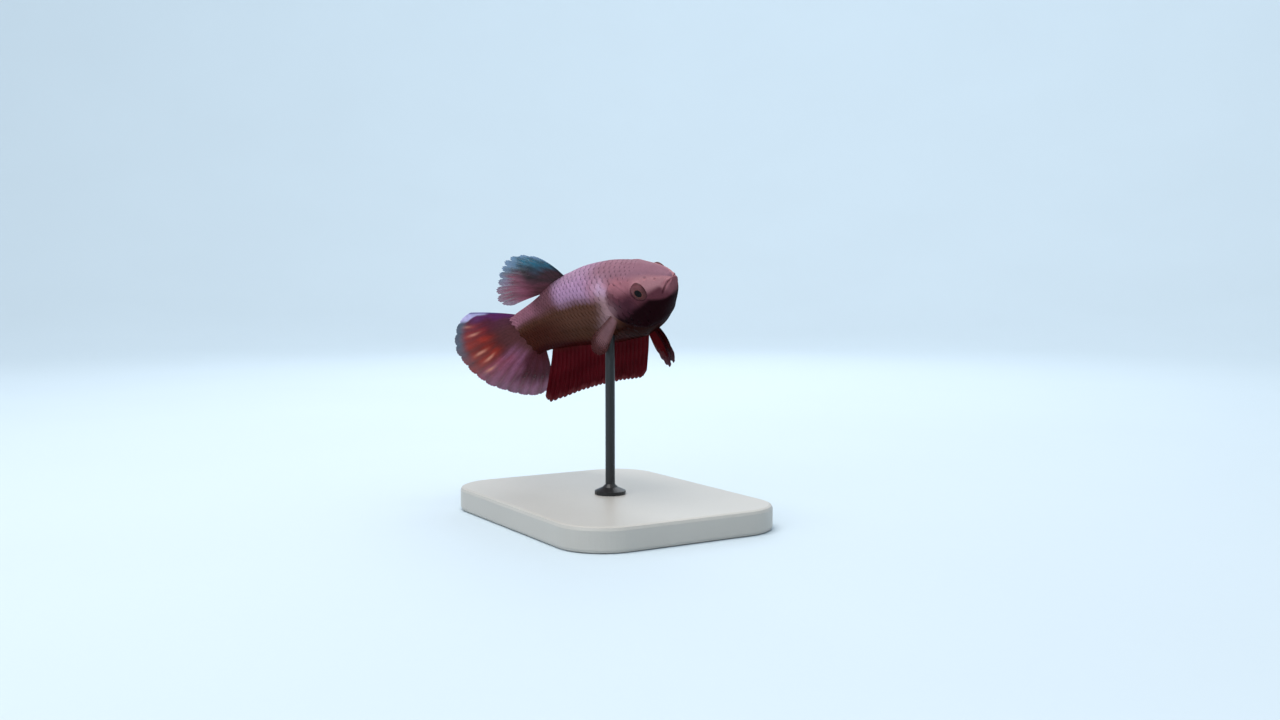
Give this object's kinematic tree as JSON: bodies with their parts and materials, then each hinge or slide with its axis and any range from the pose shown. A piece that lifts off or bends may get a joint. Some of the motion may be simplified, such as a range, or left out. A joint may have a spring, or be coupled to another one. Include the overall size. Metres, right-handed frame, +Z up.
{
  "type": "betta fish model",
  "caption": "Life-size short-finned male betta with spread fins and bent tail, banked on a small flat base with one upright pin.",
  "frame": {"origin": "centre of the underside of the stand's base, on the floor", "axes": "+Z up, the fish heads towards +X with its head 10 degrees up, banked 39 degrees with its left side up and its back leaning towards -Y"},
  "size_m": [0.0606, 0.038, 0.0443],
  "materials": {
    "skin": "pearly satin, moist fish skin with fine scales, pale pink back to dark flank",
    "gill_cover": "satin dark purple-brown bony plate under thin skin",
    "eye": "wet gloss, dark iris round a black pupil",
    "dorsal_fin": "thin rayed membrane, teal and slate in front and rose behind, with a grey-blue margin",
    "caudal_fin": "thin rayed membrane, red-orange flames on brick and mauve, violet top edge, grey-teal rim",
    "anal_fin": "thin rayed membrane, deep wine red",
    "pelvic_fin": "narrow rayed blade, dark red with a near-black front edge",
    "pectoral_fin": "half-folded thin membrane, pale rose rays on dusky rose skin",
    "stand_base": "satin warm grey lacquer",
    "stand_rod": "satin black"
  },
  "bodies": {
    "root": {"head": "skin", "lower_jaw": "skin", "trunk": "skin", "tail_stalk": "skin", "gill_cover_left": "gill_cover", "gill_cover_right": "gill_cover", "eye_left": "eye", "eye_right": "eye", "dorsal_fin": "dorsal_fin", "caudal_fin": "caudal_fin", "anal_fin": "anal_fin", "pelvic_fin_left": "pelvic_fin", "pelvic_fin_right": "pelvic_fin", "pectoral_fin_left": "pectoral_fin", "pectoral_fin_right": "pectoral_fin", "stand_base": "stand_base", "stand_rod": "stand_rod"}
  },
  "joints": []
}
